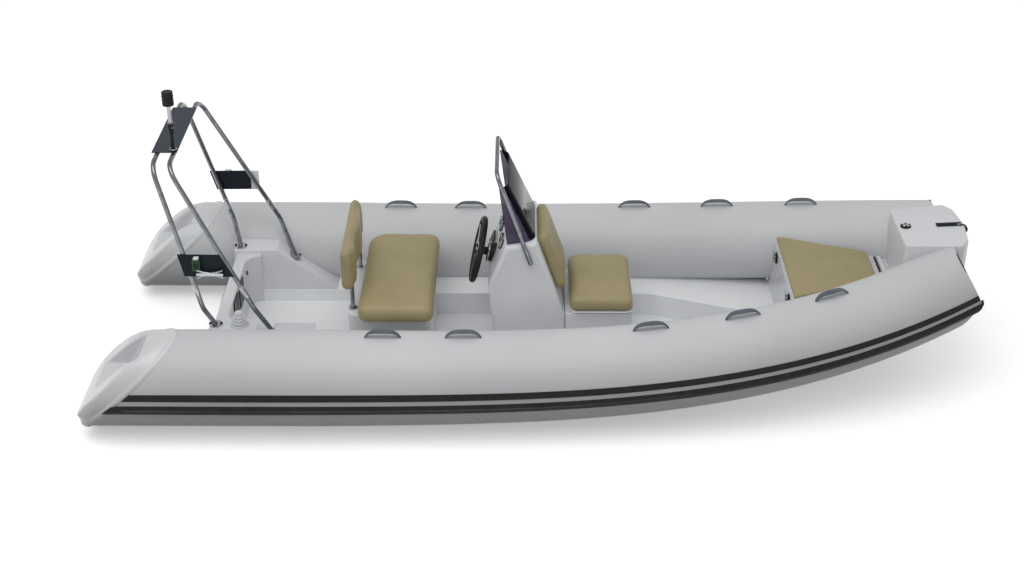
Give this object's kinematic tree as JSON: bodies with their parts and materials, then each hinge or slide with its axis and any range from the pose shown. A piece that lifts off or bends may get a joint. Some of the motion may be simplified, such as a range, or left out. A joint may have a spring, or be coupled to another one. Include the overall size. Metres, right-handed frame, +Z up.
{
  "type": "rigid inflatable boat with helm console and light arch",
  "caption": "Open rigid inflatable boat with grey tubes, V hull, helm console, cushioned seats, bow locker and an aft light arch.",
  "frame": {"origin": "on the waterline at the centreline, amidships", "axes": "+X forward to the bow, +Y to port, +Z up"},
  "size_m": [5.0489, 2.1512, 1.9429],
  "materials": {
    "tube_fabric": "matt coated fabric",
    "black_rubber": "matt",
    "handle_rubber": "matt",
    "gelcoat": "glossy glass-fibre moulding",
    "seat_vinyl": "soft vinyl",
    "steel": "polished tube",
    "tinted_acrylic": "smoked sheet",
    "black_plastic": "satin",
    "dark_plate": "satin",
    "green_lens": "moulded lens",
    "red_lens": "moulded lens",
    "lamp_white": "clear lens and black cap"
  },
  "bodies": {
    "boat": {"tube_starboard": "tube_fabric", "tube_port": "tube_fabric", "tube_end_caps": "tube_fabric", "rub_stripes": "black_rubber", "rub_strakes": "black_rubber", "grab_handles": "handle_rubber", "hull": "gelcoat", "deck": "gelcoat", "transom": "gelcoat", "wing_port": "gelcoat", "wing_starboard": "gelcoat", "helm_seat_box": "gelcoat", "helm_backrest": "seat_vinyl", "backrest_posts": "steel", "console": "gelcoat", "front_seat_box": "gelcoat", "front_backrest": "seat_vinyl", "windscreen": "tinted_acrylic", "windscreen_rail": "steel", "helm_bezel": "black_plastic", "gauges": "black_plastic", "switch_panel": "black_plastic", "arch_rear_hoop": "steel", "arch_front_hoop": "steel", "arch_feet": "steel", "arch_top_plate": "dark_plate", "arch_side_panels": "dark_plate", "nav_light_starboard": "green_lens", "nav_light_port": "red_lens", "mooring_cleats": "steel", "mast_base": "black_plastic", "bow_locker": "gelcoat", "locker_latches": "black_plastic", "bow_nose": "gelcoat", "roller_pin": "steel", "bow_fitting": "black_plastic", "bow_eye": "steel", "engine_pads": "black_plastic", "transom_fittings": "black_plastic", "cable_boot": "black_rubber"},
    "steering_wheel": {"steering_wheel": "black_plastic"},
    "helm_seat_lid_body": {"helm_seat_lid": "gelcoat", "helm_cushion": "seat_vinyl"},
    "front_seat_lid_body": {"front_seat_lid": "gelcoat", "front_cushion": "seat_vinyl"},
    "bow_locker_lid_body": {"bow_locker_lid": "gelcoat", "bow_cushion": "seat_vinyl"},
    "anchor_roller_body": {"anchor_roller": "black_rubber"},
    "light_mast_body": {"light_mast": "steel", "all_round_light": "lamp_white"}
  },
  "joints": [
    {"name": "steering", "type": "hinge", "parent": "boat", "child": "steering_wheel", "pos_m": [-0.398, 0, 0.681], "axis": [-0.9744, 0, 0.225], "range_deg": [-630, 630]},
    {"name": "helm_seat_lid_hinge", "type": "hinge", "parent": "boat", "child": "helm_seat_lid_body", "pos_m": [-0.668, 0, 0.433], "axis": [0, 1, 0], "range_deg": [0, 80]},
    {"name": "front_seat_lid_hinge", "type": "hinge", "parent": "boat", "child": "front_seat_lid_body", "pos_m": [0.5, 0, 0.405], "axis": [0, 1, 0], "range_deg": [0, 80]},
    {"name": "bow_locker_lid_hinge", "type": "hinge", "parent": "boat", "child": "bow_locker_lid_body", "pos_m": [1.921, 0, 0.54], "axis": [0, 1, 0], "range_deg": [0, 75]},
    {"name": "anchor_roller_spin", "type": "hinge", "parent": "boat", "child": "anchor_roller_body", "pos_m": [2.414, 0, 0.82], "axis": [0, 1, 0], "continuous": true},
    {"name": "light_mast_fold", "type": "hinge", "parent": "boat", "child": "light_mast_body", "pos_m": [-2.068, -0.285, 1.58], "axis": [0, -1, 0], "range_deg": [0, 90]}
  ]
}
